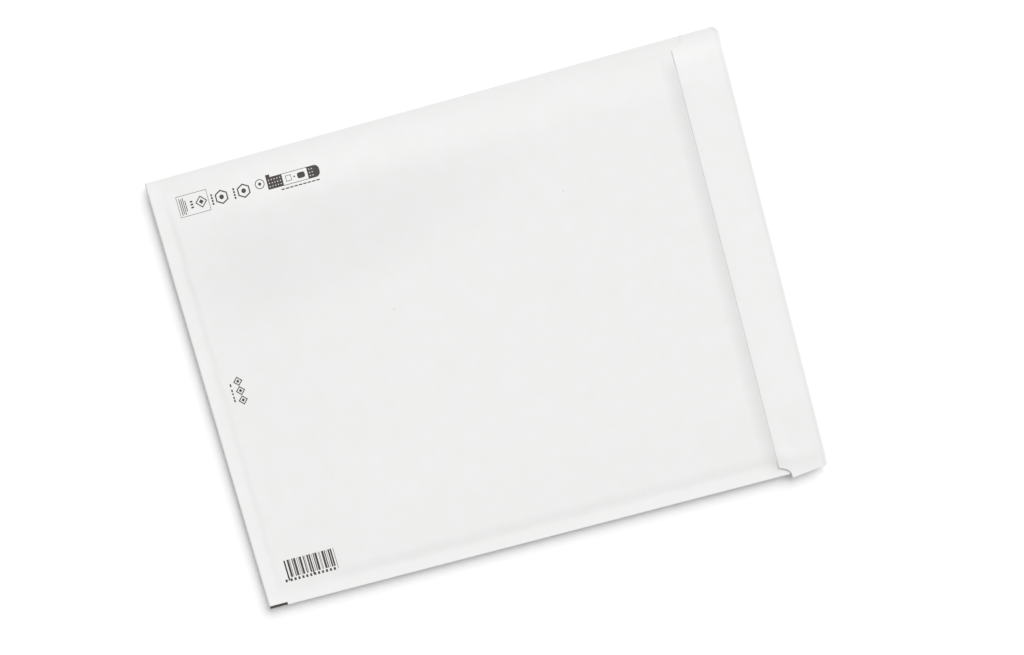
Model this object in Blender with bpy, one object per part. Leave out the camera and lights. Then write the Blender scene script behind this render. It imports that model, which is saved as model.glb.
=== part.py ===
"""Padded mailing envelope, lying flat with its flap folded over the front panel.

A sheet of white kraft paper is folded at the closed end and at the mouth, over a pouch of
bubble film whose thin edges are caught in the side seals. The flap carries a band of
adhesive under a release liner. +X runs along the envelope to its mouth, +Y across it.
Units are metres. The origin is under the middle of the envelope, on the surface it lies on.
"""
import bpy
import bmesh
from math import cos, pi, sin, sqrt

# ---------------------------------------------------------------- driving dimensions
LENGTH = 0.484          # closed end to mouth fold
WIDTH = 0.370           # across the two side seals
PAPER = 0.0003          # kraft sheet
GAP = 0.0003            # clearance kept between pieces that touch
FILM = 0.0003           # bubble film where the seals crush it flat
PAD_HEIGHT = 0.0090     # both padded layers and both panels
SEAM_Z = 0.0069         # middle of the sealed bands, nearer the front than the rear
SEAL = 0.010            # flat sealed band along each side and the closed end
SHOULDER = 0.015        # run over which the padding reaches its full height

FLAP = 0.0416           # mouth fold to the flap's free edge
FLAP_LIFT = 0.0006      # how far the free edge springs up
EAR_LENGTH = 0.0100     # flap's cut ends, measured along X
EAR_CUT = {-1: 0.0074, 1: 0.0102}   # how far each end is cut back at the free edge
EAR_OVERHANG = 0.0041   # the flap's ear stands this far past the side at -Y
EAR_POWER = 0.3         # shape of the S cut: steep at the ear, slow at the free edge

MOUTH_BEND = 0.0022     # how far the mouth fold bulges past where the sheet starts to turn
MOUTH_CORNER = 0.006    # radius of the mouth fold's corner at +Y
MOUTH_SET_BACK = 0.0125  # front panel's edge, short of the mouth fold
LINING_SET_BACK = 0.0160  # lining's open end, short of the mouth fold
MOUTH_SLOPE = 0.045     # run over which the envelope thins down to the mouth fold
MOUTH_THIN = 0.5        # part of the padding's height left at the mouth fold
POCKET_SLIT = 0.0006    # the empty pocket between the two padded layers
POCKET_SIDE = 0.004     # how far the pocket reaches into the shoulders

STRIP_WIDTH = 0.012
STRIP_LENGTH = 0.338
STRIP_THICK = 0.0003
STRIP_FROM_EDGE = 0.0045    # from the flap's free edge
LINER_WIDTH = 0.018
LINER_LENGTH = 0.346
LINER_THICK = 0.0002

# ---------------------------------------------------------------- derived places
X_END = -LENGTH / 2
X_FOLD = LENGTH / 2
X_FREE = X_FOLD - FLAP
X_EAR = X_FREE + EAR_LENGTH
X_BEND = X_FOLD - MOUTH_BEND
X_GLUED = X_FREE + STRIP_FROM_EDGE + (STRIP_WIDTH + LINER_WIDTH) / 2
Y_MID = EAR_OVERHANG / 2                # centres the whole outline, ear included, on Y = 0
Y_SIDE = {-1: Y_MID - WIDTH / 2, 1: Y_MID + WIDTH / 2}
OVERHANG = {-1: EAR_OVERHANG, 1: 0.0}
SEAM_HALF = PAPER + GAP + FILM / 2      # half the thickness of a sealed band
FLAP_STACK = GAP + LINER_THICK + GAP + STRIP_THICK + GAP


def smooth(t):
    """0 to 1 with level ends."""
    t = min(max(t, 0.0), 1.0)
    return t * t * (3 - 2 * t)


def padding(x, y):
    """Part of the padding's height that is reached at a point: 0 on the sealed bands."""
    side = min(y - Y_SIDE[-1], Y_SIDE[1] - y)
    end = x - X_END
    return smooth((side - SEAL) / SHOULDER) * smooth((end - SEAL) / SHOULDER)


def mouth(x):
    """Height left near the mouth, where the padding thins down to the fold."""
    return 1 - (1 - MOUTH_THIN) * smooth((x - X_FOLD + MOUTH_SLOPE) / MOUTH_SLOPE)


def front_face(x, y):
    """Outer face of the front panel."""
    crown = PAD_HEIGHT - SEAM_Z - SEAM_HALF
    return SEAM_Z + SEAM_HALF + crown * padding(x, y) * mouth(x)


def rear_face(x, y):
    """Outer face of the rear panel, flat on the surface wherever it is fully padded."""
    return (SEAM_Z - SEAM_HALF) * (1 - padding(x, y) * mouth(x))


def flap_face(x, y):
    """Outer face of the flap, held off the front panel by the adhesive and its liner."""
    settle = smooth((x - X_GLUED) / (X_BEND - X_GLUED))
    lift = FLAP_LIFT * ((X_FOLD - x) / FLAP) ** 2
    return front_face(x, y) + FLAP_STACK + (GAP - FLAP_STACK) * settle + PAPER + lift


def flap_end(x, side):
    """The flap's end at -Y or +Y: out to the ear, then cut back in an S to the free edge."""
    out = OVERHANG[side] * min((X_FOLD - x) / (X_FOLD - X_EAR), 1.0)
    back = 0.0
    if x < X_EAR:
        part = min((X_EAR - x) / EAR_LENGTH, 1.0)
        back = (EAR_CUT[side] + OVERHANG[side]) * part ** EAR_POWER
    return Y_SIDE[side] + side * (out - back)


def corner_draw(y):
    """How far the mouth fold is drawn back from its line by its rounded corner."""
    past = max(y - Y_SIDE[1] + MOUTH_CORNER, 0.0)
    return MOUTH_CORNER - sqrt(max(MOUTH_CORNER ** 2 - past ** 2, 0.0))


# ---------------------------------------------------------------- stations of the grids
def spread(start, stop, steps):
    return [start + (stop - start) * i / steps for i in range(steps + 1)]


def between(start, stop, stations):
    """The two ends and the stations that lie clear between them."""
    margin = 0.0004
    return [start] + [at for at in stations if start + margin < at < stop - margin] + [stop]


def across(start, stop):
    """Stations across the envelope: close on the shoulders, wide apart on the flat."""
    low = spread(Y_SIDE[-1] + SEAL, Y_SIDE[-1] + SEAL + SHOULDER, 6)
    high = spread(Y_SIDE[1] - SEAL - SHOULDER, Y_SIDE[1] - SEAL, 6)
    corner = [Y_SIDE[1] - MOUTH_CORNER * (1 - sin(pi / 2 * k / 4)) for k in range(1, 4)]
    return between(start, stop, low + [Y_MID] + high + corner)


def along(start, stop):
    """Stations along the envelope: close on the closed end's shoulder and the mouth's slope."""
    shoulder = spread(X_END + SEAL, X_END + SEAL + SHOULDER, 6)
    slope = spread(X_FOLD - MOUTH_SLOPE, X_FOLD - MOUTH_BEND - MOUTH_CORNER - 0.002, 6)
    return between(start, stop, shoulder + slope)


# ---------------------------------------------------------------- building blocks
def new_object(name, mesh_data, material):
    obj = bpy.data.objects.new(name, mesh_data)
    obj.data.materials.append(material)
    bpy.context.collection.objects.link(obj)
    return obj


def make_material(name, colour, roughness):
    material = bpy.data.materials.new(name)
    material.use_nodes = True
    shader = material.node_tree.nodes["Principled BSDF"]
    shader.inputs["Base Color"].default_value = (*colour, 1)
    shader.inputs["Roughness"].default_value = roughness
    shader.inputs["Metallic"].default_value = 0.0
    return material


def grid_mesh(name, rows):
    """A surface through rows of points, all rows equally long."""
    bm = bmesh.new()
    grid = [[bm.verts.new(point) for point in row] for row in rows]
    for near, far in zip(grid, grid[1:]):
        for j in range(len(near) - 1):
            bm.faces.new((near[j], near[j + 1], far[j + 1], far[j]))
    mesh = bpy.data.meshes.new(name)
    bm.to_mesh(mesh)
    bm.free()
    return mesh


def slab_mesh(name, xs, ys, low, high):
    """A closed slab between two height functions over a grid."""
    bm = bmesh.new()
    floor = [[bm.verts.new((x, y, low(x, y))) for y in ys] for x in xs]
    roof = [[bm.verts.new((x, y, high(x, y))) for y in ys] for x in xs]
    for i in range(len(xs) - 1):
        for j in range(len(ys) - 1):
            cell = [(i, j), (i + 1, j), (i + 1, j + 1), (i, j + 1)]
            bm.faces.new([roof[a][b] for a, b in cell])
            bm.faces.new([floor[a][b] for a, b in reversed(cell)])
    rim = [(i, 0) for i in range(len(xs))]
    rim += [(len(xs) - 1, j) for j in range(1, len(ys))]
    rim += [(i, len(ys) - 1) for i in range(len(xs) - 2, -1, -1)]
    rim += [(0, j) for j in range(len(ys) - 2, 0, -1)]
    for (a, b), (c, d) in zip(rim, rim[1:] + rim[:1]):
        bm.faces.new((floor[a][b], floor[c][d], roof[c][d], roof[a][b]))
    mesh = bpy.data.meshes.new(name)
    bm.to_mesh(mesh)
    bm.free()
    return mesh


# ---------------------------------------------------------------- the pieces
def panel_row(x, ys, face):
    return [(x, y, face(x, y)) for y in ys]


def closed_end_rows(ys, steps):
    """The tight fold at the closed end, from the front panel down to the rear one."""
    for k in range(1, steps):
        angle = pi * k / steps
        x = X_END + SEAM_HALF * (1 - sin(angle))
        yield [(x, y, SEAM_Z + SEAM_HALF * cos(angle)) for y in ys]


def mouth_fold_rows(ys, steps):
    """The rounder fold at the mouth, from the rear panel up to the flap."""
    for k in range(steps + 1):
        angle = pi * k / steps
        row = []
        for y in ys:
            low, high = rear_face(X_BEND, y), flap_face(X_BEND, y)
            x = X_BEND - corner_draw(y) + MOUTH_BEND * sin(angle)
            row.append((x, y, (low + high) / 2 - (high - low) / 2 * cos(angle)))
        yield row


def flap_row(x, ys):
    """A row across the flap, its outer stations moved to the flap's cut ends."""
    low, high = flap_end(x, -1), flap_end(x, 1)
    spare = 0.0006
    inner = [min(max(y, low + spare * (j + 1)), high - spare * (len(ys) - 2 - j))
             for j, y in enumerate(ys[1:-1])]
    return panel_row(x, [low] + inner + [high], flap_face)


def folded_sheet_rows():
    """The paper's outer face as rows across it, from the front panel's edge to the flap's."""
    ys = across(Y_SIDE[-1], Y_SIDE[1])
    front = along(X_END + SEAM_HALF, X_FOLD - MOUTH_SET_BACK)
    rear = [x for x in along(X_END + SEAM_HALF, X_BEND) if x < X_BEND]
    flap = [x for x in along(X_EAR, X_BEND) if X_EAR < x < X_BEND]
    ear = [X_EAR - EAR_LENGTH * part for part in (0, 0.03, 0.12, 0.32, 0.62, 1)]
    rows = [panel_row(x, ys, front_face) for x in reversed(front)]
    rows += closed_end_rows(ys, 6)
    rows += [panel_row(x, ys, rear_face) for x in rear]
    rows += mouth_fold_rows(ys, 6)
    rows += [flap_row(x, ys) for x in reversed(flap)]
    rows += [flap_row(x, ys) for x in ear]
    return rows


def make_paper_shell(material):
    shell = new_object("paper_shell", grid_mesh("paper_shell", folded_sheet_rows()), material)
    wall = shell.modifiers.new("sheet_thickness", 'SOLIDIFY')
    wall.thickness = PAPER
    wall.offset = -1
    wall.use_even_offset = True
    shell.data.shade_smooth()
    shell.data.set_sharp_from_angle(angle=pi / 4)
    return shell


def make_bubble_lining(material):
    inset = PAPER + GAP
    margin = 0.001
    xs = along(X_END + SEAM_HALF, X_FOLD - LINING_SET_BACK)
    ys = across(Y_SIDE[-1] + margin, Y_SIDE[1] - margin)
    mesh = slab_mesh("bubble_lining", xs, ys,
                     lambda x, y: rear_face(x, y) + inset,
                     lambda x, y: front_face(x, y) - inset)
    lining = new_object("bubble_lining", mesh, material)

    start = X_END + SEAL + SHOULDER - POCKET_SIDE
    stop = X_FOLD
    side = WIDTH / 2 - SEAL - SHOULDER + POCKET_SIDE
    pocket = slab_mesh("pocket_cutter", along(start, stop), across(Y_MID - side, Y_MID + side),
                       lambda x, y: (rear_face(x, y) + front_face(x, y) - POCKET_SLIT) / 2,
                       lambda x, y: (rear_face(x, y) + front_face(x, y) + POCKET_SLIT) / 2)
    cutter = new_object("pocket_cutter", pocket, material)
    cutter.hide_render = True
    cutter.display_type = 'WIRE'
    cut = lining.modifiers.new("pocket", 'BOOLEAN')
    cut.operation = 'DIFFERENCE'
    cut.object = cutter
    return lining


def make_flap_layer(name, width, length, thickness, height, material):
    """A band under the flap, its lower face a given height above the front panel."""
    middle = X_FREE + STRIP_FROM_EDGE + STRIP_WIDTH / 2
    xs = along(middle - width / 2, middle + width / 2)
    ys = across(Y_MID - length / 2, Y_MID + length / 2)
    mesh = slab_mesh(name, xs, ys,
                     lambda x, y: front_face(x, y) + height,
                     lambda x, y: front_face(x, y) + height + thickness)
    return new_object(name, mesh, material)


def clear_scene():
    for obj in list(bpy.data.objects):
        bpy.data.objects.remove(obj)


clear_scene()
kraft = make_material("white_kraft", (0.85, 0.85, 0.85), 0.75)
film = make_material("bubble_film", (0.80, 0.84, 0.86), 0.30)
hot_melt = make_material("hot_melt", (0.80, 0.74, 0.55), 0.35)
silicone_paper = make_material("silicone_paper", (0.84, 0.85, 0.86), 0.40)

make_paper_shell(kraft)
make_bubble_lining(film)
make_flap_layer("release_liner", LINER_WIDTH, LINER_LENGTH, LINER_THICK, GAP, silicone_paper)
make_flap_layer("adhesive_strip", STRIP_WIDTH, STRIP_LENGTH, STRIP_THICK,
                GAP + LINER_THICK + GAP, hot_melt)
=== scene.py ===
"""Looks of a padded mailing envelope: white kraft paper over a pouch of bubble film.

The envelope lies flat, its closed end at -X and its mouth fold at +X, with the flap folded
over the front panel. Every surface here follows three height functions, front_face, rear_face
and flap_face, so paper, film, glue and print stay in step. Metres, +Z up.
"""
from math import cos, exp, pi, radians, sin, sqrt

import bmesh
import bpy
from mathutils import Matrix, Vector


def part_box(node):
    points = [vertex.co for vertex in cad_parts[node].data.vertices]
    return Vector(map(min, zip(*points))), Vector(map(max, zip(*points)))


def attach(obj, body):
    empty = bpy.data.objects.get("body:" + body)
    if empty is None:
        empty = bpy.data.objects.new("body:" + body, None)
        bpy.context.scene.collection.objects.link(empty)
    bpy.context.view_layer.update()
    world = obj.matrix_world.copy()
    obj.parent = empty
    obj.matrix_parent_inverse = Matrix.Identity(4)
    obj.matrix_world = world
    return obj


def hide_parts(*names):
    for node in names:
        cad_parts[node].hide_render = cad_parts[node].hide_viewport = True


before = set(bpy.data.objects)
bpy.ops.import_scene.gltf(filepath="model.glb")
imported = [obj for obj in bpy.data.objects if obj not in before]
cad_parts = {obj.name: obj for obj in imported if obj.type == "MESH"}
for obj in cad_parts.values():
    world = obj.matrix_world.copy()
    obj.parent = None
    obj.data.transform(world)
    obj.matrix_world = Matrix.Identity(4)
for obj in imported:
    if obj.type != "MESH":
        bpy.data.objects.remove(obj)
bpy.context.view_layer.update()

MM = 0.001

# ---------------------------------------------------------------- sizes, from the frame
LOW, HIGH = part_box("paper_shell")
LINING_LOW, LINING_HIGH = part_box("bubble_lining")
GLUE_LOW, GLUE_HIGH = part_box("adhesive_strip")
LINER_LOW, LINER_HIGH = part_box("release_liner")

EAR_OVERHANG = 4.1 * MM         # the frame's box reaches this far past the side at -Y
X_END, X_FOLD = LOW.x, HIGH.x
Y_SIDE = {-1: LOW.y + EAR_OVERHANG, 1: HIGH.y}

PAPER = 0.15 * MM
FILM = 0.12 * MM
GAP = 0.3 * MM
SEAM_HALF = 0.75 * MM           # half the thickness of a sealed band
SEAM_Z = 6.9 * MM               # middle of the sealed bands
PAD_TOP = 9.0 * MM              # front panel where the padding is full

# Low names the side at -Y and high the one at +Y. Each padded edge of the front panel has the
# width of its sealed band, then the run of its shoulder.
LOW_SEAL, LOW_SHOULDER = 9 * MM, 12 * MM
LOW_SOFT_SHOULDER = 60 * MM     # the same shoulder beside the flap, where it is hardly pressed
HIGH_SEAL, HIGH_SHOULDER = 6 * MM, 40 * MM
END_SEAL, END_SHOULDER = 10.5 * MM, 6 * MM
END_SHARE = 0.22                # part of the height that the closed end's shoulder takes
END_SLOPE, END_SLOPE_RUN = 12 * MM, 95 * MM     # the long slope takes the rest
REAR_SEAL, REAR_SHOULDER = 10 * MM, 15 * MM

# Slow hills and hollows on the front panel: height, place, half lengths, turn in degrees
HILLS = ((1.0, (60, 340), (120, 70), 0),
         (0.4, (200, 335), (130, 40), -3),
         (-0.3, (75, 120), (60, 70), 0),
         (0.25, (140, 22), (80, 30), 0))

CURL = 0.45 * MM                # rise of the sealed bands' outer edges
CURL_LOW, CURL_END, CURL_HIGH = 11 * MM, 12 * MM, 3.5 * MM      # how far in each curl starts
CURL_HIGH_SHARE = 0.3

FLAP = 41.6 * MM
X_FREE = X_FOLD - FLAP
EAR_LENGTH = 9.3 * MM
X_EAR = X_FREE + EAR_LENGTH
EAR_OUT = {-1: 3.5 * MM, 1: 0.0}        # the ears' reach past the sides, at -Y and at +Y
EAR_CUT = {-1: 7.4 * MM, 1: 10.2 * MM}  # the free edge's ends, in from the sides
EAR_POWER = 0.3
FLAP_REST = PAPER + 0.05 * MM   # flap's outer face where it touches the front panel
FLAP_STACK = 1.6 * MM           # what the glue and its liner add under the flap
FLAP_SETTLE = 0.3               # part of that lost between the free edge and the fold
LOW_FLAP_LIFT, LOW_FLAP_RUN = 0.45, 16 * MM     # the flap stays clear of the seal at -Y
HIGH_FLAP_START, HIGH_FLAP_RUN = 4 * MM, 22 * MM

RIDGE_RUN = 13 * MM             # the front panel climbs over this run to meet the flap
RIDGE_DROP = 4 * MM             # and falls back over this one, under the flap
RIDGE_START = {-1: 1 * MM, 1: 6 * MM}   # where the ridge's ends start, in from the sides
RIDGE_FADE = {-1: 15 * MM, 1: 22 * MM}

MOUTH_BEND = 2.2 * MM
X_BEND = X_FOLD - MOUTH_BEND
MOUTH_CORNER = 6.0 * MM
MOUTH_SLOPE, MOUTH_THIN = 45 * MM, 0.75     # the padding thins to this part at the mouth
CREASE_RISE, CREASE_RUN = 0.2 * MM, 3 * MM  # the fold stands a little above the flap
LOW_DRAW, LOW_DRAW_RUN = 1.2 * MM, 24 * MM  # the fold's end at -Y is drawn back a little
X_MOUTH_EDGE = X_FOLD - 12.5 * MM           # the front panel's edge, under the flap


def smooth(t):
    """An even step from 0 to 1 as t goes from 0 to 1."""
    t = min(max(t, 0.0), 1.0)
    return t * t * (3 - 2 * t)


def inset(y, side):
    """Distance in from the side at -Y (-1) or at +Y (1)."""
    return side * (Y_SIDE[side] - y)


def fading(distance, run):
    """1 at an edge, falling evenly to 0 over a run in from it."""
    return max(1 - distance / run, 0.0)


# ---------------------------------------------------------------- relief of the padded paper
def swell(x, y, at, size, turn):
    """A broad low bump of height 1, its long side turned from +X by turn degrees."""
    c, s = cos(radians(turn)), sin(radians(turn))
    dx, dy = x - X_END - at[0] * MM, y - Y_SIDE[-1] - at[1] * MM
    along, aside = dx * c + dy * s, dy * c - dx * s
    return exp(-(along / (size[0] * MM)) ** 2 - (aside / (size[1] * MM)) ** 2)


def undulation(x, y):
    """Slow hills and hollows where the film beneath has been squeezed and let go."""
    return MM * sum(height * swell(x, y, at, size, turn) for height, at, size, turn in HILLS)


def ripple(along, pitch, seed):
    """A wandering line, from three sines whose pitches don't divide each other."""
    a = sin(2 * pi * along / pitch + seed)
    b = sin(2 * pi * along / (pitch * 0.618) + seed * 2.3)
    c = sin(2 * pi * along / (pitch * 0.271) + seed * 5.1)
    return (a + 0.6 * b + 0.35 * c) / 1.95


def seal_shoulder(distance, along, seal, run, seed):
    """Rise from a sealed edge to the padding, its foot wandering a little along the seal."""
    foot = seal + 0.9 * MM * ripple(along, 47 * MM, seed)
    return smooth((distance - foot) / run)


def padding(x, y):
    """Part of the padding's height reached at a point, each edge with a shoulder of its own."""
    crisp = 0.5 * (1 - smooth((x - X_FREE) / (15 * MM)))
    low = crisp * seal_shoulder(inset(y, -1), x, LOW_SEAL, LOW_SHOULDER, 1.0)
    low += (1 - crisp) * smooth((inset(y, -1) - LOW_SEAL) / LOW_SOFT_SHOULDER)
    high = seal_shoulder(inset(y, 1), x, HIGH_SEAL, HIGH_SHOULDER, 2.0)
    crease = seal_shoulder(x - X_END, y, END_SEAL, END_SHOULDER, 3.0)
    slope = smooth((x - X_END - END_SLOPE) / END_SLOPE_RUN)
    return low * high * (END_SHARE * crease + (1 - END_SHARE) * slope)


def rear_padding(x, y):
    """The same for the rear panel, which bulges evenly on all its sealed edges."""
    side, end = min(inset(y, -1), inset(y, 1)), x - X_END
    return smooth((side - REAR_SEAL) / REAR_SHOULDER) * smooth((end - REAR_SEAL) / REAR_SHOULDER)


def mouth(x):
    """Thins the padding towards the mouth fold."""
    return 1 - (1 - MOUTH_THIN) * smooth((x - X_FOLD + MOUTH_SLOPE) / MOUTH_SLOPE)


def curl(x, y):
    """The sealed bands' outer edges curl up a little, less at +Y and beside the mouth."""
    away_from_mouth = smooth((X_FREE - x) / (40 * MM) + 0.4)
    low_and_end = fading(inset(y, -1), CURL_LOW) ** 1.5 + fading(x - X_END, CURL_END) ** 1.5
    high = CURL_HIGH_SHARE * fading(inset(y, 1), CURL_HIGH)
    return CURL * (low_and_end * away_from_mouth + high)


def panel_level(x, y):
    """The front panel without the ridge under the flap's edge."""
    seal = SEAM_Z + SEAM_HALF
    return seal + (PAD_TOP - seal + undulation(x, y)) * padding(x, y) * mouth(x) + curl(x, y)


def ridge_sides(y):
    """Fades the panel's ridge out towards the sealed sides."""
    low = smooth((inset(y, -1) - RIDGE_START[-1]) / RIDGE_FADE[-1])
    return low * smooth((inset(y, 1) - RIDGE_START[1]) / RIDGE_FADE[1])


def flap_sides(y):
    """Lowers the flap towards the sides, less at -Y where it stays clear of the seal."""
    low = LOW_FLAP_LIFT + (1 - LOW_FLAP_LIFT) * smooth(inset(y, -1) / LOW_FLAP_RUN)
    return low * smooth((inset(y, 1) - HIGH_FLAP_START) / HIGH_FLAP_RUN)


def front_face(x, y):
    """Outer face of the front panel, pushed up in a ridge that the flap's edge rests on."""
    if x < X_FREE:
        climb = fading(X_FREE - x, RIDGE_RUN) ** 2
    else:
        climb = 1 - smooth((x - X_FREE) / RIDGE_DROP)
    return panel_level(x, y) + FLAP_STACK * climb * ridge_sides(y)


def rear_face(x, y):
    """Outer face of the rear panel, flat on the table except along its edges."""
    return (SEAM_Z - SEAM_HALF) * (1 - rear_padding(x, y) * mouth(x))


def flap_face(x, y):
    """Outer face of the flap: from its free edge over the glue to the fold's raised crease."""
    settle = 1 - FLAP_SETTLE * smooth((x - X_FREE) / (X_BEND - X_FREE))
    crease = CREASE_RISE * smooth((x - X_BEND + CREASE_RUN) / CREASE_RUN)
    return panel_level(x, y) + FLAP_REST + FLAP_STACK * settle * flap_sides(y) + crease


def flap_end(x, side):
    """The flap's end at -Y or +Y: out to the ear, then cut back in an S to the free edge."""
    out = EAR_OUT[side] * min((X_FOLD - x) / (X_FOLD - X_EAR), 1.0)
    back = 0.0
    if x < X_EAR:
        part = min((X_EAR - x) / EAR_LENGTH, 1.0)
        back = (EAR_CUT[side] + EAR_OUT[side]) * part ** EAR_POWER
    return Y_SIDE[side] + side * (out - back)


def corner_draw(y):
    """How far the mouth fold is drawn back: round at +Y, and in a slow taper at -Y."""
    past = max(MOUTH_CORNER - inset(y, 1), 0.0)
    corner = MOUTH_CORNER - sqrt(max(MOUTH_CORNER ** 2 - past ** 2, 0.0))
    return corner + LOW_DRAW * fading(inset(y, -1), LOW_DRAW_RUN) ** 1.5


# ---------------------------------------------------------------- mesh helpers
def stations(start, stop, step):
    count = max(1, round((stop - start) / step))
    return [start + (stop - start) * i / count for i in range(count + 1)]


def joined_stations(*runs):
    """Several runs end to end, each (start, stop, step), without doubling their ends."""
    places = []
    for run in runs:
        places += stations(*run)[1 if places else 0:]
    return places


def link(name, bm, material, smooth_shaded=True):
    mesh = bpy.data.meshes.new(name)
    bm.to_mesh(mesh)
    bm.free()
    obj = bpy.data.objects.new(name, mesh)
    mesh.materials.append(material)
    bpy.context.collection.objects.link(obj)
    if smooth_shaded:
        mesh.shade_smooth()
    return obj


def add_grid(bm, rows):
    verts = [[bm.verts.new(point) for point in row] for row in rows]
    for near, far in zip(verts, verts[1:]):
        for j in range(len(near) - 1):
            bm.faces.new((near[j], near[j + 1], far[j + 1], far[j]))


def add_slab(bm, columns, low, high):
    """A closed slab over columns of (x, y) places, between two height functions."""
    floor = [[bm.verts.new((x, y, low(x, y))) for x, y in column] for column in columns]
    roof = [[bm.verts.new((x, y, high(x, y))) for x, y in column] for column in columns]
    last_i, last_j = len(columns) - 1, len(columns[0]) - 1
    for i in range(last_i):
        for j in range(last_j):
            cell = [(i, j), (i + 1, j), (i + 1, j + 1), (i, j + 1)]
            bm.faces.new([roof[a][b] for a, b in cell])
            bm.faces.new([floor[a][b] for a, b in reversed(cell)])
    rim = [(i, 0) for i in range(last_i)] + [(last_i, j) for j in range(last_j)]
    rim += [(i, last_j) for i in range(last_i, 0, -1)] + [(0, j) for j in range(last_j, 0, -1)]
    for (a, b), (c, d) in zip(rim, rim[1:] + rim[:1]):
        bm.faces.new((floor[a][b], floor[c][d], roof[c][d], roof[a][b]))


# ---------------------------------------------------------------- materials
def hex_colour(code):
    """sRGB hex to the linear colour that the shaders take."""
    channels = [int(code[i:i + 2], 16) / 255 for i in (0, 2, 4)]
    linear = [c / 12.92 if c <= 0.04045 else ((c + 0.055) / 1.055) ** 2.4 for c in channels]
    return (*linear, 1.0)


def node(tree, kind, settings=None, links=None):
    """Adds a node, sets its properties and sockets, and links its inputs."""
    made = tree.nodes.new(kind)
    for key, value in (settings or {}).items():
        if hasattr(made, key):
            setattr(made, key, value)
        else:
            made.inputs[key].default_value = value
    for key, source in (links or {}).items():
        tree.links.new(source, made.inputs[key])
    return made


def new_material(name):
    material = bpy.data.materials.new(name)
    material.use_nodes = True
    return material, material.node_tree, material.node_tree.nodes["Principled BSDF"]


def two_tones(tree, source, low, high):
    """A colour ramp: each end is (position, hex colour)."""
    ramp = node(tree, "ShaderNodeValToRGB", links={"Fac": source})
    for stop, (position, code) in zip(ramp.color_ramp.elements, (low, high)):
        stop.position = position
        stop.color = hex_colour(code)
    return ramp.outputs["Color"]


def painted_shade_patch(tree, place):
    """Painted shade: a long soft patch, darker than the rest of the sheet, standing in for a
    shallow hollow turned away from the lamp; 1 outside it and darker inside.
    """
    patch = node(tree, "ShaderNodeMapping",
                 {"vector_type": 'TEXTURE',
                  "Location": (X_END + 140 * MM, Y_SIDE[-1] + 288 * MM, 0),
                  "Rotation": (0, 0, radians(9)), "Scale": (200 * MM, 62 * MM, 1.0)},
                 {"Vector": place})
    fade = node(tree, "ShaderNodeTexGradient", {"gradient_type": 'SPHERICAL'},
                {"Vector": patch.outputs["Vector"]})
    # painted shade: the colour is scaled down to 0.966 inside the patch
    painted_dimming = node(tree, "ShaderNodeMapRange",
                {"interpolation_type": 'SMOOTHSTEP', "From Max": 0.75,
                 "To Min": 1.0, "To Max": 0.966},
                {"Value": fade.outputs["Fac"]})
    return painted_dimming.outputs["Result"]


def white_kraft():
    """Bleached kraft: softwood pulp, machine-glazed on one side and left uncoated.

    The eye gets a dead matt white, very slightly cloudy where the fibres lie thicker, with a
    tooth that only shows at a low angle; one long patch is darkened by painted shade for a hollow
    out of the lamp.
    """
    material, tree, shader = new_material("white_kraft")
    place = node(tree, "ShaderNodeTexCoord").outputs["Object"]
    cloud = node(tree, "ShaderNodeTexNoise",
                 {"Scale": 1 / (14 * MM), "Detail": 4.0, "Roughness": 0.6}, {"Vector": place})
    stretch = node(tree, "ShaderNodeMapping", {"Scale": (1.0, 3.2, 1.0)}, {"Vector": place})
    fibre = node(tree, "ShaderNodeTexNoise",
                 {"Scale": 1 / (1.6 * MM), "Detail": 3.0, "Roughness": 0.65},
                 {"Vector": stretch.outputs["Vector"]})
    mixed = node(tree, "ShaderNodeMix",
                 {"data_type": 'RGBA', "blend_type": 'MIX', "Factor": 0.35},
                 {6: cloud.outputs["Fac"], 7: fibre.outputs["Fac"]})
    shade = two_tones(tree, mixed.outputs[2], (0.30, "e2e2e1"), (0.70, "e5e5e5"))
    # the paper's tone times the painted shade patch, which darkens it where a hollow would be in
    # shade
    tone_with_painted_shade = node(tree, "ShaderNodeVectorMath", {"operation": 'SCALE'},
                 {"Vector": shade, "Scale": painted_shade_patch(tree, place)})
    tooth = node(tree, "ShaderNodeBump", {"Strength": 0.12, "Distance": 0.08 * MM},
                 {"Height": fibre.outputs["Fac"]})
    tree.links.new(tone_with_painted_shade.outputs["Vector"], shader.inputs["Base Color"])
    tree.links.new(tooth.outputs["Normal"], shader.inputs["Normal"])
    shader.inputs["Roughness"].default_value = 0.80
    shader.inputs["Specular IOR Level"].default_value = 0.25
    shader.inputs["IOR"].default_value = 1.47
    return material


def black_flexo_ink():
    """Water-based black ink laid by a rubber plate: thin, matt and a little brown.

    Where the plate pressed on the fibres' tops only, the paper shows through as fine mottle.
    """
    material, tree, shader = new_material("black_flexo_ink")
    place = node(tree, "ShaderNodeTexCoord").outputs["Object"]
    mottle = node(tree, "ShaderNodeTexNoise",
                  {"Scale": 1 / (0.9 * MM), "Detail": 3.0, "Roughness": 0.7}, {"Vector": place})
    shade = two_tones(tree, mottle.outputs["Fac"], (0.35, "2a2522"), (0.75, "5b5551"))
    tree.links.new(shade, shader.inputs["Base Color"])
    shader.inputs["Roughness"].default_value = 0.62
    shader.inputs["IOR"].default_value = 1.5
    return material


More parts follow.
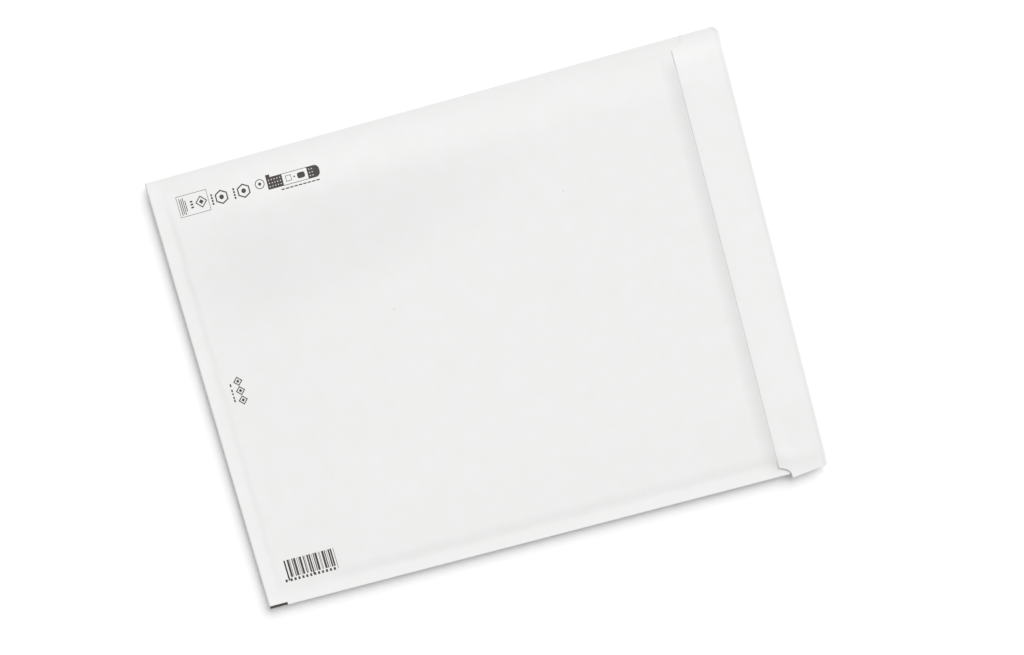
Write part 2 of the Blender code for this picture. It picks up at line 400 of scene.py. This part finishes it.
def bubble_film():
    """Blown polyethylene, two webs sealed round trapped air: clear, soft and slightly milky."""
    material, tree, shader = new_material("bubble_film")
    place = node(tree, "ShaderNodeTexCoord").outputs["Object"]
    crease = node(tree, "ShaderNodeTexNoise",
                  {"Scale": 1 / (6 * MM), "Detail": 5.0, "Roughness": 0.6}, {"Vector": place})
    rough = node(tree, "ShaderNodeMapRange", {"To Min": 0.18, "To Max": 0.36},
                 {"Value": crease.outputs["Fac"]})
    pucker = node(tree, "ShaderNodeBump", {"Strength": 0.3, "Distance": 0.3 * MM},
                  {"Height": crease.outputs["Fac"]})
    tree.links.new(rough.outputs["Result"], shader.inputs["Roughness"])
    tree.links.new(pucker.outputs["Normal"], shader.inputs["Normal"])
    shader.inputs["Base Color"].default_value = hex_colour("e3e9ec")
    shader.inputs["IOR"].default_value = 1.51
    shader.inputs["Alpha"].default_value = 0.75
    return material


def hot_melt_glue():
    """Pressure-sensitive hot melt, slot-coated in a band: straw-coloured, glossy and streaked."""
    material, tree, shader = new_material("hot_melt_glue")
    place = node(tree, "ShaderNodeTexCoord").outputs["Object"]
    stretch = node(tree, "ShaderNodeMapping", {"Scale": (9.0, 1.0, 1.0)}, {"Vector": place})
    streak = node(tree, "ShaderNodeTexNoise",
                  {"Scale": 1 / (18 * MM), "Detail": 3.0}, {"Vector": stretch.outputs["Vector"]})
    shade = two_tones(tree, streak.outputs["Fac"], (0.0, "d9cfa6"), (1.0, "e8e0c2"))
    ridge = node(tree, "ShaderNodeBump", {"Strength": 0.4, "Distance": 0.1 * MM},
                 {"Height": streak.outputs["Fac"]})
    tree.links.new(shade, shader.inputs["Base Color"])
    tree.links.new(ridge.outputs["Normal"], shader.inputs["Normal"])
    shader.inputs["Roughness"].default_value = 0.25
    shader.inputs["IOR"].default_value = 1.48
    return material


def siliconed_glassine():
    """Supercalendered paper with a cured silicone face: white, close-grained and slippery."""
    material, tree, shader = new_material("siliconed_glassine")
    place = node(tree, "ShaderNodeTexCoord").outputs["Object"]
    grain = node(tree, "ShaderNodeTexNoise",
                 {"Scale": 1 / (3 * MM), "Detail": 4.0}, {"Vector": place})
    shade = two_tones(tree, grain.outputs["Fac"], (0.0, "dcdedd"), (1.0, "eceeee"))
    tree.links.new(shade, shader.inputs["Base Color"])
    shader.inputs["Roughness"].default_value = 0.38
    shader.inputs["IOR"].default_value = 1.43
    return material


def studio_sweep():
    """Matt white painted board, evenly lit, with a trace of roller texture."""
    material, tree, shader = new_material("studio_sweep")
    place = node(tree, "ShaderNodeTexCoord").outputs["Object"]
    roller = node(tree, "ShaderNodeTexNoise",
                  {"Scale": 1 / (4 * MM), "Detail": 2.0}, {"Vector": place})
    stipple = node(tree, "ShaderNodeBump", {"Strength": 0.05, "Distance": 0.1 * MM},
                   {"Height": roller.outputs["Fac"]})
    tree.links.new(stipple.outputs["Normal"], shader.inputs["Normal"])
    shader.inputs["Base Color"].default_value = hex_colour("fbfbfb")
    shader.inputs["Roughness"].default_value = 0.9
    shader.inputs["Specular IOR Level"].default_value = 0.1
    return material


# ---------------------------------------------------------------- the paper
FINE, COARSE, WIDE = 1.4 * MM, 4.0 * MM, 9.0 * MM       # steps of the sheet's mesh
EDGE_ZONE = 30 * MM                     # width of the finer mesh along the edges
CORNER_ZONE = MOUTH_CORNER + 1.5 * MM   # the rows beside the mouth fold that bend with it
EAR_SPREAD = 16 * MM                    # the flap's rows make up for its cut ends over this
EAR_ROWS = 9


def paper_across():
    return joined_stations((Y_SIDE[-1], Y_SIDE[-1] + EDGE_ZONE, FINE),
                           (Y_SIDE[-1] + EDGE_ZONE, Y_SIDE[1] - EDGE_ZONE, COARSE),
                           (Y_SIDE[1] - EDGE_ZONE, Y_SIDE[1] - MOUTH_CORNER, FINE),
                           (Y_SIDE[1] - MOUTH_CORNER, Y_SIDE[1], FINE / 2))


def panel_row(x, ys, face):
    return [(x, y, face(x, y)) for y in ys]


def closed_end_rows(ys, steps):
    """The fold at the closed end, half round from the front panel to the rear one."""
    for k in range(1, steps):
        angle = pi * k / steps
        x = X_END + SEAM_HALF * (1 - sin(angle))
        yield [(x, y, SEAM_Z + SEAM_HALF * cos(angle)) for y in ys]


def mouth_fold_rows(ys, steps):
    """The fold at the mouth, from the rear panel up to the flap."""
    for k in range(steps + 1):
        angle = pi * k / steps
        row = []
        for y in ys:
            low, high = rear_face(X_BEND, y), flap_face(X_BEND, y)
            x = X_BEND - corner_draw(y) + MOUTH_BEND * sin(angle)
            row.append((x, y, (low + high) / 2 - (high - low) / 2 * cos(angle)))
        yield row


def drawn_back(x, y):
    """Pulls a row beside the mouth fold back in step with the fold's rounded corner."""
    return x - corner_draw(y) * fading(X_BEND - x, CORNER_ZONE)


def flap_row(x, ys):
    """A row across the flap, spread between the flap's two cut ends."""
    low, high = flap_end(x, -1) - Y_SIDE[-1], flap_end(x, 1) - Y_SIDE[1]
    row = []
    for y in ys:
        near_low, near_high = fading(inset(y, -1), EAR_SPREAD), fading(inset(y, 1), EAR_SPREAD)
        row.append(y + near_low * low + near_high * high)
    return [(drawn_back(x, y), y, flap_face(x, y)) for y in row]


def make_paper():
    """The folded sheet: front panel, closed end, rear panel, mouth fold and flap."""
    ys = paper_across()
    x_start = X_END + SEAM_HALF
    x_turn = X_BEND - CORNER_ZONE
    front = joined_stations((x_start, X_END + EDGE_ZONE, FINE),
                            (X_END + EDGE_ZONE, X_FREE - RIDGE_RUN, COARSE),
                            (X_FREE - RIDGE_RUN, X_FREE, FINE),
                            (X_FREE, X_MOUTH_EDGE, FINE))
    rear = joined_stations((x_start, X_END + EDGE_ZONE, 2 * FINE),
                           (X_END + EDGE_ZONE, X_FREE - EDGE_ZONE, WIDE),
                           (X_FREE - EDGE_ZONE, x_turn, 2 * FINE))
    flap = joined_stations((X_EAR, x_turn, 1.8 * MM), (x_turn, X_BEND, 0.8 * MM))[:-1]
    ear = [X_EAR - EAR_LENGTH * (k / EAR_ROWS) ** 2 for k in range(1, EAR_ROWS + 1)]

    rows = [panel_row(x, ys, front_face) for x in reversed(front)]
    rows += closed_end_rows(ys, 8)
    rows += [panel_row(x, ys, rear_face) for x in rear]
    rows += mouth_fold_rows(ys, 10)
    rows += [flap_row(x, ys) for x in reversed(flap)]
    rows += [flap_row(x, ys) for x in ear]

    bm = bmesh.new()
    add_grid(bm, rows)
    paper = link("kraft_sheet", bm, white_kraft())
    wall = paper.modifiers.new("sheet_thickness", 'SOLIDIFY')
    wall.thickness = PAPER
    wall.offset = -1
    wall.use_even_offset = True
    paper.modifiers.new("edge_shading", 'WEIGHTED_NORMAL')
    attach(paper, "root")
    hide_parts("paper_shell")
    return paper


# ---------------------------------------------------------------- the bubble film
BUBBLE_PITCH = 11.0 * MM
BUBBLE_RADIUS = 4.7 * MM
BUBBLE_SIDES = 8
DOME = ((1.0, 0.0), (0.92, 0.65), (0.5, 1.0))   # parts of the radius and of the height
LEAST_DOME = 1.0 * MM           # no bubbles where the pouch is too thin for them
POCKET = 0.6 * MM               # kept open between the two layers' bubbles
FILM_MIDDLE = PAD_TOP / 2
FILM_EDGE = 26 * MM             # width of the finer mesh along the pouch's edges
BARE_EDGE = 20 * MM             # flat film along the seals, without bubbles


def film_top(x, y):
    return panel_level(x, y) - PAPER - GAP / 2


def film_bottom(x, y):
    return rear_face(x, y) + PAPER + GAP / 2


def film_top_inside(x, y):
    return film_top(x, y) - FILM


def film_bottom_inside(x, y):
    return film_bottom(x, y) + FILM


def add_bubble(bm, x, y, foot, height, direction):
    """A closed dome, flat against the film and swelling up (1) or down (-1) to the pocket."""
    loops = []
    for reach, rise in DOME:
        loop = []
        for k in range(BUBBLE_SIDES):
            angle = 2 * pi * k / BUBBLE_SIDES
            px = x + BUBBLE_RADIUS * reach * cos(angle)
            py = y + BUBBLE_RADIUS * reach * sin(angle)
            loop.append(bm.verts.new((px, py, foot + direction * height * rise)))
        loops.append(loop)
    for near, far in zip(loops, loops[1:]):
        for k in range(BUBBLE_SIDES):
            after = (k + 1) % BUBBLE_SIDES
            quad = (near[k], near[after], far[after], far[k])
            bm.faces.new(quad if direction > 0 else quad[::-1])
    bm.faces.new(loops[-1] if direction > 0 else loops[-1][::-1])
    bm.faces.new(loops[0][::-1] if direction > 0 else loops[0])


def bubble_places(x0, x1, y0, y1):
    """Centres of the bubbles in staggered rows, clear of the pouch's edges."""
    bare = BARE_EDGE + BUBBLE_RADIUS
    row_step = BUBBLE_PITCH * sqrt(3) / 2
    for i, x in enumerate(stations(x0 + bare, x1 - BUBBLE_RADIUS - 2 * MM, row_step)):
        shift = BUBBLE_PITCH / 2 * (i % 2)
        first, last = y0 + bare + shift, y1 - bare - BUBBLE_PITCH / 2 + shift
        for y in stations(first, last, BUBBLE_PITCH):
            yield x, y


def make_bubble_film():
    """A pouch of two film layers, sealed at the sides, with bubbles facing the pocket."""
    x0, x1 = LINING_LOW.x + GAP, LINING_HIGH.x
    y0, y1 = LINING_LOW.y, LINING_HIGH.y
    xs = joined_stations((x0, x0 + FILM_EDGE, 2 * MM), (x0 + FILM_EDGE, X_FREE, 8 * MM),
                         (X_FREE, x1, 3 * MM))
    ys = joined_stations((y0, y0 + FILM_EDGE, 2 * MM), (y0 + FILM_EDGE, y1 - FILM_EDGE, 8 * MM),
                         (y1 - FILM_EDGE, y1, 2 * MM))
    columns = [[(x, y) for y in ys] for x in xs]
    bm = bmesh.new()
    add_slab(bm, columns, film_top_inside, film_top)
    add_slab(bm, columns, film_bottom, film_bottom_inside)
    for x, y in bubble_places(x0, x1, y0, y1):
        ceiling, base = film_top_inside(x, y), film_bottom_inside(x, y)
        up_room = ceiling - FILM_MIDDLE - POCKET / 2
        down_room = FILM_MIDDLE - POCKET / 2 - base
        if min(up_room, down_room) > LEAST_DOME:
            add_bubble(bm, x, y, ceiling, up_room, -1)
            add_bubble(bm, x, y, base, down_room, 1)
    film = link("bubble_film_pouch", bm, bubble_film())
    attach(film, "root")
    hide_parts("bubble_lining")
    return film


# ---------------------------------------------------------------- glue and liner
BAND_RIM = 1.0 * MM             # a band thins over this rim
BAND_EDGE = 0.55                # to this part of its thickness


def make_flap_band(name, low, high, height, thickness, material, replaced):
    """A band under the flap, following the front panel at a given height above it."""
    xs = stations(low.x, high.x, 1.5 * MM)
    ys = stations(low.y, high.y, 3 * MM)

    def bottom(x, y):
        return front_face(x, y) + height

    def top(x, y):
        inside = min(x - low.x, high.x - x, y - low.y, high.y - y)
        full = BAND_EDGE + (1 - BAND_EDGE) * smooth(inside / BAND_RIM)
        return bottom(x, y) + thickness * full

    bm = bmesh.new()
    add_slab(bm, [[(x, y) for y in ys] for x in xs], bottom, top)
    band = link(name, bm, material)
    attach(band, "root")
    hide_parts(replaced)
    return band


# ---------------------------------------------------------------- the print
# Places and sizes below are millimetres from the closed end and from the side at -Y.
INK_PROUD = 0.05 * MM           # the ink's face above the paper
INK_SUNK = 0.06 * MM            # and its back inside the paper
PRINT_STEP = 1.6                # how often a patch of ink is bent with the panel


def on_paper(x_mm, y_mm):
    """A place on the front panel, from the closed end and the side at -Y, in millimetres."""
    return X_END + x_mm * MM, Y_SIDE[-1] + y_mm * MM


def add_ink(bm, place, u_steps, v_steps):
    """A thin patch of ink over the unit square that place() turns into millimetres."""
    columns = [[on_paper(*place(i / u_steps, j / v_steps)) for j in range(v_steps + 1)]
               for i in range(u_steps + 1)]
    add_slab(bm, columns,
             lambda x, y: front_face(x, y) - INK_SUNK,
             lambda x, y: front_face(x, y) + INK_PROUD)


def steps_for(length):
    return max(1, round(abs(length) / PRINT_STEP))


def rule(bm, x0, y0, x1, y1):
    """A filled upright rectangle."""
    add_ink(bm, lambda u, v: (x0 + (x1 - x0) * u, y0 + (y1 - y0) * v),
            steps_for(x1 - x0), steps_for(y1 - y0))


def frame_line(bm, x0, y0, x1, y1, pen):
    """A rectangle's outline."""
    rule(bm, x0, y0, x1, y0 + pen)
    rule(bm, x0, y1 - pen, x1, y1)
    rule(bm, x0, y0 + pen, x0 + pen, y1 - pen)
    rule(bm, x1 - pen, y0 + pen, x1, y1 - pen)


def ring(bm, cx, cy, radius, pen):
    """A round stroke."""
    def place(u, v):
        reach = radius - pen * (1 - v)
        return cx + reach * cos(2 * pi * u), cy + reach * sin(2 * pi * u)
    add_ink(bm, place, 30, 1)


def polygon_line(bm, cx, cy, radius, sides, turn, pen):
    """A regular polygon's outline, as one stroke for each side, mitred at the corners."""
    half = pi / sides

    def corner(k, reach):
        angle = radians(turn) + 2 * half * k
        return cx + reach * cos(angle), cy + reach * sin(angle)

    for k in range(sides):
        def place(u, v, k=k):
            reach = radius - pen / cos(half) * (1 - v)
            (ax, ay), (bx, by) = corner(k, reach), corner(k + 1, reach)
            return ax + (bx - ax) * u, ay + (by - ay) * u
        add_ink(bm, place, steps_for(2 * radius * sin(half)), 1)


def pill(bm, x0, x1, y0, y1, round_low, round_high):
    """A filled bar whose left and right ends are rounded by the given radii."""
    half = (y1 - y0) / 2
    middle = (y0 + y1) / 2

    def reach(x):
        cut = 0.0
        for gap, radius in ((x - x0, round_low), (x1 - x, round_high)):
            if radius and gap < radius:
                cut = max(cut, radius - sqrt(max(radius ** 2 - (radius - gap) ** 2, 0.0)))
        return max(half - cut, 0.02)

    def place(u, v):
        x = x0 + (x1 - x0) * (0.5 - 0.5 * cos(pi * u))
        return x, middle + reach(x) * (2 * v - 1)
    add_ink(bm, place, 18, 6)


def pierced_block(bm, x0, x1, y0, y1, across, up):
    """A dark block with rows of small square holes that the paper shows through."""
    hole = 0.8
    step = (y1 - y0 - hole * up) / (up + 1)     # dark stretch between two holes
    side = (x1 - x0 - hole * across) / (across + 1)
    for j in range(up + 1):
        y = y0 + j * (step + hole)
        rule(bm, x0, y, x1, y + step)
        for k in range(across + 1 if j < up else 0):
            x = x0 + k * (side + hole)
            rule(bm, x, y + step, x + side, y + step + hole)


def print_piece(name, draw, material):
    bm = bmesh.new()
    draw(bm)
    piece = link(name, bm, material, smooth_shaded=False)
    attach(piece, "root")
    return piece


def draw_care_box(bm):
    """An outlined panel: ruled lines at its left, three dots, and a lozenge at its right."""
    middle = 343.4
    frame_line(bm, 21.5, 334.9, 47.6, 352.4, 0.32)
    for k, length in enumerate((14.0, 12.6, 14.0, 9.0)):
        x = 23.4 + 1.5 * k
        rule(bm, x, middle - length / 2, x + 0.6, middle + length / 2)
    for y in (340.2, 342.6, 345.0):
        rule(bm, 32.0, y, 34.2, y + 1.3)
    polygon_line(bm, 41.3, 343.6, 5.1, 4, 0, 0.75)
    polygon_line(bm, 41.3, 343.6, 2.0, 4, 0, 1.3)


def draw_outline_marks(bm):
    """Two six-sided outlines with dark hearts and a column of dots each, and a small ring."""
    middle = 342.9
    for cx in (58.6, 77.6):
        polygon_line(bm, cx, middle, 6.0, 6, 30, 1.0)
        polygon_line(bm, cx, middle, 2.1, 6, 30, 1.7)
        for k in range(4):
            y = 338.3 + 2.4 * k
            rule(bm, cx - 8.7, y, cx - 7.3, y + 1.7)
    ring(bm, 91.8, 344.6, 4.0, 0.6)
    ring(bm, 91.8, 344.6, 1.3, 1.2)


def draw_dark_strip(bm):
    """A strip with pierced dark ends, two marks in its light middle and dashes under it."""
    left, window_left, window_right, block_right, right = 97.8, 111.0, 132.1, 138.0, 142.2
    foot, head = 338.1, 348.0
    pen = 0.4
    pierced_block(bm, left, window_left, foot, head, 5, 3)
    rule(bm, left, head, left + 3.4, head + 2.3)
    rule(bm, window_left, foot, window_right, foot + pen)
    rule(bm, window_left, head - pen, window_right, head)
    frame_line(bm, 113.6, 340.8, 118.4, 345.6, pen)
    rule(bm, 120.3, 342.6, 121.5, 343.8)
    pill(bm, 123.4, 129.8, 340.6, 345.4, 1.6, 1.6)
    pierced_block(bm, window_right, block_right, foot, head, 2, 3)
    pill(bm, block_right, right, foot, head, 0.0, 4.0)
    for k in range(9):
        x = 108.0 + 3.7 * k
        rule(bm, x, 335.1, x + 2.9, 336.0)


def draw_end_mark(bm):
    """A chain of three lozenges, each with a dark heart, and a row of dots beside it."""
    for y in (193.2, 185.1, 177.0):
        polygon_line(bm, 28.5, y, 4.0, 4, 0, 0.8)
        polygon_line(bm, 28.5, y, 1.5, 4, 0, 1.0)
    for y, height in ((190.0, 2.4), (185.6, 2.2), (183.0, 1.6), (179.6, 2.0), (176.8, 2.2)):
        rule(bm, 21.0, y, 22.2, y + height)


def draw_bar_field(bm):
    """Upright bars over a row of small blocks. Their widths wander and spell no code."""
    left, top, foot, low_foot = 22.6, 37.1, 21.9, 19.4
    unit, units = 0.466, 95
    at, k = 0, 0
    while at < units:
        bar = 1 + int(1.75 * (1 + sin(1.9 * k + 0.4)))
        space = 1 + int(1.2 * (1 + sin(2.7 * k + 2.0)))
        tall = at < 4 or at > units - 5 or 44 <= at <= 49
        x0, x1 = left + at * unit, left + min(at + bar, units) * unit
        rule(bm, x0, low_foot if tall else foot, x1 - 0.08, top)
        at += bar + space
        k += 1
    for k in range(13):
        x = 19.8 + 3.45 * k + (0.9 if k else 0.0)
        rule(bm, x, 18.6, x + 1.8, 20.9)


def draw_register_mark(bm):
    """The solid block that the bag machine reads, cut through by the side seal."""
    rule(bm, 1.0, 0.06, 16.3, 2.3)


def draw_specks(bm):
    """Two dark fibres in the pulp."""
    for x, y in ((170.3, 217.1), (329.1, 274.2)):
        rule(bm, x, y, x + 0.5, y + 0.5)


# ---------------------------------------------------------------- floor, light, camera
FLOOR_REACH = 60                # metres each way, so that low views show no end of it
FLOOR_CLEAR = 0.02 * MM


def make_floor(material):
    bm = bmesh.new()
    xs, ys = (FLOOR_REACH, -FLOOR_REACH), stations(-FLOOR_REACH, FLOOR_REACH, 10)
    add_grid(bm, [[(x, y, 0.0) for y in ys] for x in xs])
    floor = link("floor", bm, material)
    floor.location.z = LOW.z - FLOOR_CLEAR


def make_light():
    """One very broad lamp from beyond the mouth and the side at +Y, and an even room."""
    lamp = bpy.data.lights.new("broad_lamp", 'SUN')
    lamp.energy = 3.2
    lamp.angle = radians(54)
    obj = bpy.data.objects.new("broad_lamp", lamp)
    towards = Vector((0.62, 0.62, 0.73)).normalized()
    obj.rotation_euler = towards.to_track_quat('Z', 'Y').to_euler()
    bpy.context.collection.objects.link(obj)

    world = bpy.data.worlds.new("even_room")
    world.use_nodes = True
    backdrop = world.node_tree.nodes["Background"]
    backdrop.inputs["Color"].default_value = (1.0, 1.0, 1.0, 1.0)
    backdrop.inputs["Strength"].default_value = 0.465
    bpy.context.scene.world = world
    bpy.context.scene.view_settings.view_transform = 'Standard'


def make_camera():
    """A 50 mm lens almost straight above, leaning towards the corner of the mouth at +Y."""
    azimuth, elevation, roll = radians(151.42), radians(83.94), radians(193.45)
    distance, target = 1.1706, Vector((0.0179, -0.0057, SEAM_Z))
    away = Vector((cos(elevation) * sin(azimuth), -cos(elevation) * cos(azimuth), sin(elevation)))
    right = (-away).cross(Vector((0, 0, 1))).normalized()
    upward = right.cross(-away)
    across = right * cos(roll) + upward * sin(roll)
    up = upward * cos(roll) - right * sin(roll)
    camera = bpy.data.cameras.new("camera")
    camera.lens = 50
    camera.sensor_width = 36
    camera.clip_end = 100
    obj = bpy.data.objects.new("camera", camera)
    turn = Matrix((across, up, away)).transposed().to_4x4()
    obj.matrix_world = Matrix.Translation(target + away * distance) @ turn
    bpy.context.collection.objects.link(obj)
    bpy.context.scene.camera = obj


make_paper()
make_bubble_film()
make_flap_band("release_tape", LINER_LOW, LINER_HIGH, 0.2 * MM, 0.15 * MM,
               siliconed_glassine(), "release_liner")
make_flap_band("hot_melt_band", GLUE_LOW, GLUE_HIGH, 0.45 * MM, 0.25 * MM,
               hot_melt_glue(), "adhesive_strip")
ink = black_flexo_ink()
for piece_name, draw in (("print_care_box", draw_care_box),
                         ("print_outline_marks", draw_outline_marks),
                         ("print_dark_strip", draw_dark_strip),
                         ("print_end_mark", draw_end_mark),
                         ("print_bar_field", draw_bar_field),
                         ("print_register_mark", draw_register_mark),
                         ("paper_specks", draw_specks)):
    print_piece(piece_name, draw, ink)
make_floor(studio_sweep())
make_light()
make_camera()
